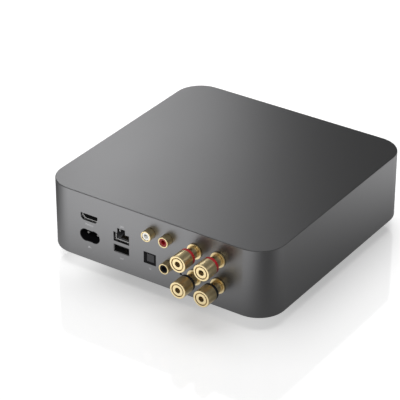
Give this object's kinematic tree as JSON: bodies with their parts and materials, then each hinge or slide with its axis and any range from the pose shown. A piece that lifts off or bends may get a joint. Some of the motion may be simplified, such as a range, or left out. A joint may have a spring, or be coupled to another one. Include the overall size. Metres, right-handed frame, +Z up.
{
  "type": "stereo amplifier",
  "caption": "Compact rounded-square stereo amplifier with a rear panel of speaker posts and audio, network, video and mains sockets, and a front volume knob.",
  "frame": {"origin": "centre of the case on the surface it stands on", "axes": "+Z up; +Y out of the rear connector panel; the volume knob faces -Y"},
  "size_m": [0.19, 0.2234, 0.063],
  "materials": {
    "case_aluminium": "bead-blasted and anodised dark grey, satin",
    "plate_black": "matt black powder coat",
    "screw_black": "blackened",
    "screw_steel": "zinc plated",
    "plinth_black": "fine moulded texture",
    "foot_rubber": "matt",
    "socket_black": "moulded",
    "shutter_grey": "moulded",
    "core_white": "moulded",
    "core_red": "moulded",
    "collar_red": "moulded",
    "collar_black": "moulded",
    "gold_plate": "gold plated",
    "socket_steel": "tin plated",
    "pin_nickel": "nickel plated",
    "board_green": "solder mask",
    "chip_black": "moulded",
    "pad_grey": "soft",
    "sink_aluminium": "extruded",
    "inductor_grey": "moulded ferrite",
    "can_black": "sleeved",
    "shield_tin": "tinned",
    "fuse_white": "glazed ceramic",
    "core_ferrite": "sintered",
    "bobbin_yellow": "taped winding",
    "cable_grey": "flat cable",
    "pipe_clear": "moulded clear",
    "knob_aluminium": "turned and anodised dark grey"
  },
  "bodies": {
    "root": {"amplifier_chip": "chip_black", "amplifier_heatsink": "sink_aluminium", "antenna_pair": "board_green", "base_plate": "plate_black", "base_plinth": "plinth_black", "board_chips": "chip_black", "board_links": "cable_grey", "board_screws": "screw_steel", "bulk_capacitor": "can_black", "case_screws": "screw_black", "data_socket_shell": "socket_steel", "data_socket_tongue": "socket_black", "electrolytic_capacitors": "can_black", "encoder_body": "pin_nickel", "encoder_nut": "pin_nickel", "front_board": "board_green", "housing_shell": "case_aluminium", "light_pipe": "pipe_clear", "line_left_insulator": "core_white", "line_right_insulator": "core_red", "main_board": "board_green", "mains_filter_choke": "core_ferrite", "mains_fuse": "fuse_white", "mains_inlet_body": "socket_black", "mains_inlet_pins": "pin_nickel", "network_socket_contacts": "gold_plate", "network_socket_housing": "socket_black", "network_socket_shield": "socket_steel", "optical_socket_body": "socket_black", "output_inductors": "inductor_grey", "phono_barrels": "gold_plate", "phono_socket_blocks": "socket_black", "post_nuts": "pin_nickel", "post_studs": "gold_plate", "post_washers": "socket_black", "processor_shield": "shield_tin", "rear_board": "board_green", "reset_switch": "socket_black", "rubber_foot": "foot_rubber", "supply_board": "board_green", "supply_heatsink": "sink_aluminium", "thermal_pad": "pad_grey", "transformer_bobbin": "bobbin_yellow", "transformer_core": "core_ferrite", "video_socket_shell": "socket_steel", "video_socket_tongue": "socket_black", "wireless_module": "shield_tin"},
    "knob_plunger": {"encoder_plunger": "socket_black"},
    "knob": {"encoder_shaft": "pin_nickel", "volume_knob": "knob_aluminium"},
    "shutter": {"optical_shutter": "shutter_grey"},
    "cap_black_inner": {"post_cap_black_inner": "gold_plate"},
    "cap_black_outer": {"post_cap_black_outer": "gold_plate"},
    "cap_red_inner": {"post_cap_red_inner": "gold_plate"},
    "cap_red_outer": {"post_cap_red_outer": "gold_plate"},
    "collar_black_inner": {"post_collar_black_inner": "collar_black"},
    "collar_black_outer": {"post_collar_black_outer": "collar_black"},
    "collar_red_inner": {"post_collar_red_inner": "collar_red"},
    "collar_red_outer": {"post_collar_red_outer": "collar_red"},
    "reset_button": {"reset_button": "socket_black"}
  },
  "joints": [
    {"name": "collar_slide_red_outer", "type": "slide", "parent": "root", "child": "collar_red_outer", "axis": [0, 1, 0], "range_m": [-0.0075, 0.0015]},
    {"name": "cap_turn_red_outer", "type": "hinge", "parent": "collar_red_outer", "child": "cap_red_outer", "pos_m": [-0.0546, 0.11115, 0.04802], "axis": [0, 1, 0], "range_deg": [-2701, 541]},
    {"name": "collar_slide_red_inner", "type": "slide", "parent": "root", "child": "collar_red_inner", "axis": [0, 1, 0], "range_m": [-0.0075, 0.0015]},
    {"name": "cap_turn_red_inner", "type": "hinge", "parent": "collar_red_inner", "child": "cap_red_inner", "pos_m": [-0.0353, 0.11115, 0.04802], "axis": [0, 1, 0], "range_deg": [-2701, 541]},
    {"name": "collar_slide_black_outer", "type": "slide", "parent": "root", "child": "collar_black_outer", "axis": [0, 1, 0], "range_m": [-0.0075, 0.0015]},
    {"name": "cap_turn_black_outer", "type": "hinge", "parent": "collar_black_outer", "child": "cap_black_outer", "pos_m": [-0.0546, 0.11115, 0.02718], "axis": [0, 1, 0], "range_deg": [-2701, 541]},
    {"name": "collar_slide_black_inner", "type": "slide", "parent": "root", "child": "collar_black_inner", "axis": [0, 1, 0], "range_m": [-0.0075, 0.0015]},
    {"name": "cap_turn_black_inner", "type": "hinge", "parent": "collar_black_inner", "child": "cap_black_inner", "pos_m": [-0.0353, 0.11115, 0.02718], "axis": [0, 1, 0], "range_deg": [-2701, 541]},
    {"name": "knob_push", "type": "slide", "parent": "root", "child": "knob_plunger", "axis": [0, 1, 0], "range_m": [0, 0.0005], "stiffness_N_per_m": 800, "springref_m": -0.003},
    {"name": "knob_turn", "type": "hinge", "parent": "knob_plunger", "child": "knob", "pos_m": [0.05, -0.101, 0.0363], "axis": [0, 1, 0], "continuous": true},
    {"name": "shutter_swing", "type": "hinge", "parent": "root", "child": "shutter", "pos_m": [0.00265, 0.0935, 0.03203], "axis": [-1, 0, 0], "range_deg": [0, 82], "stiffness_Nm_per_rad": 0.0002, "springref_deg": -57.3},
    {"name": "reset_press", "type": "slide", "parent": "root", "child": "reset_button", "axis": [0, -1, 0], "range_m": [0, 0.0003], "stiffness_N_per_m": 400, "springref_m": -0.0015}
  ],
  "couplings": [
    {"joint": "cap_turn_red_outer", "follows": "collar_slide_red_outer", "rad_per_m": 6283.2},
    {"joint": "cap_turn_red_inner", "follows": "collar_slide_red_inner", "rad_per_m": 6283.2},
    {"joint": "cap_turn_black_outer", "follows": "collar_slide_black_outer", "rad_per_m": 6283.2},
    {"joint": "cap_turn_black_inner", "follows": "collar_slide_black_inner", "rad_per_m": 6283.2}
  ]
}
